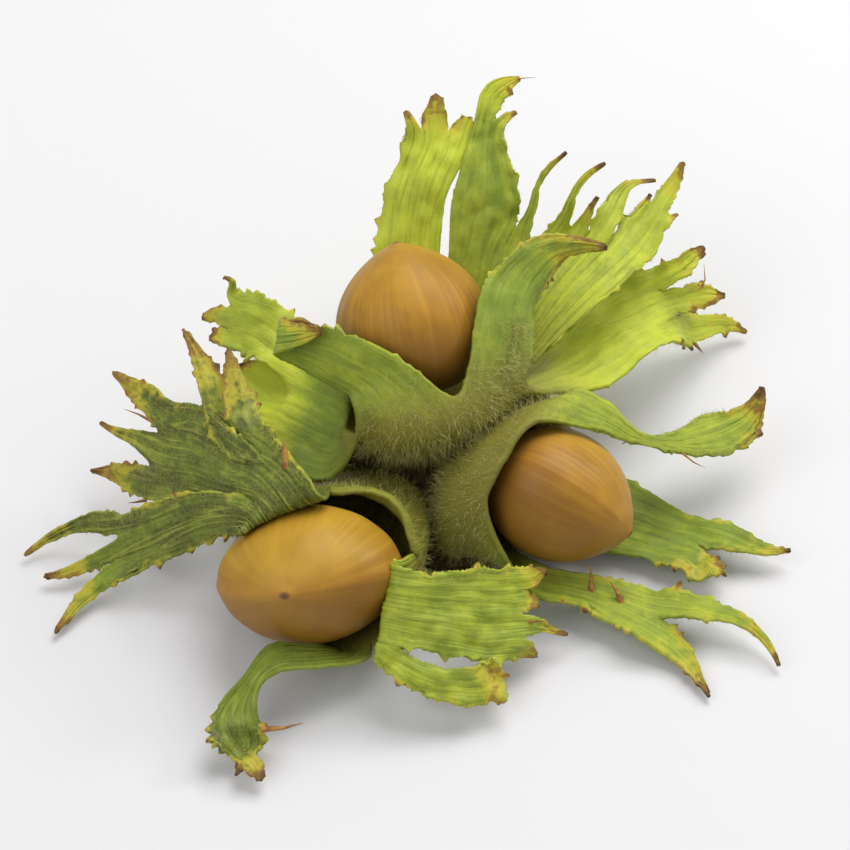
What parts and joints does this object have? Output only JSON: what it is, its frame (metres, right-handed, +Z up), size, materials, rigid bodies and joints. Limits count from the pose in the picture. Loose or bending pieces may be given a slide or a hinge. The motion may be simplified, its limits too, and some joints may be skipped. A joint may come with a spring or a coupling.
{
  "type": "hazelnut",
  "caption": "Cluster of ripe hazelnuts, each seated in a green husk with cut, spreading lobes, joined at the base on a short stalk.",
  "frame": {"origin": "bottom centre of the box round the whole cluster, on the plane that it rests on", "axes": "+Z up, -Y towards the side seen in the picture, +X to the right as seen from there"},
  "size_m": [0.096, 0.0836, 0.0374],
  "materials": {
    "shell": "satin golden-brown nut shell",
    "husk": "matt fresh green leaf, hairy at the cup",
    "stalk": "matt hairy green-brown stem"
  },
  "bodies": {
    "root": {"nut_top": "shell", "nut_left": "shell", "nut_right": "shell", "husk_top": "husk", "husk_left": "husk", "husk_right": "husk", "stalk": "stalk"}
  },
  "joints": []
}
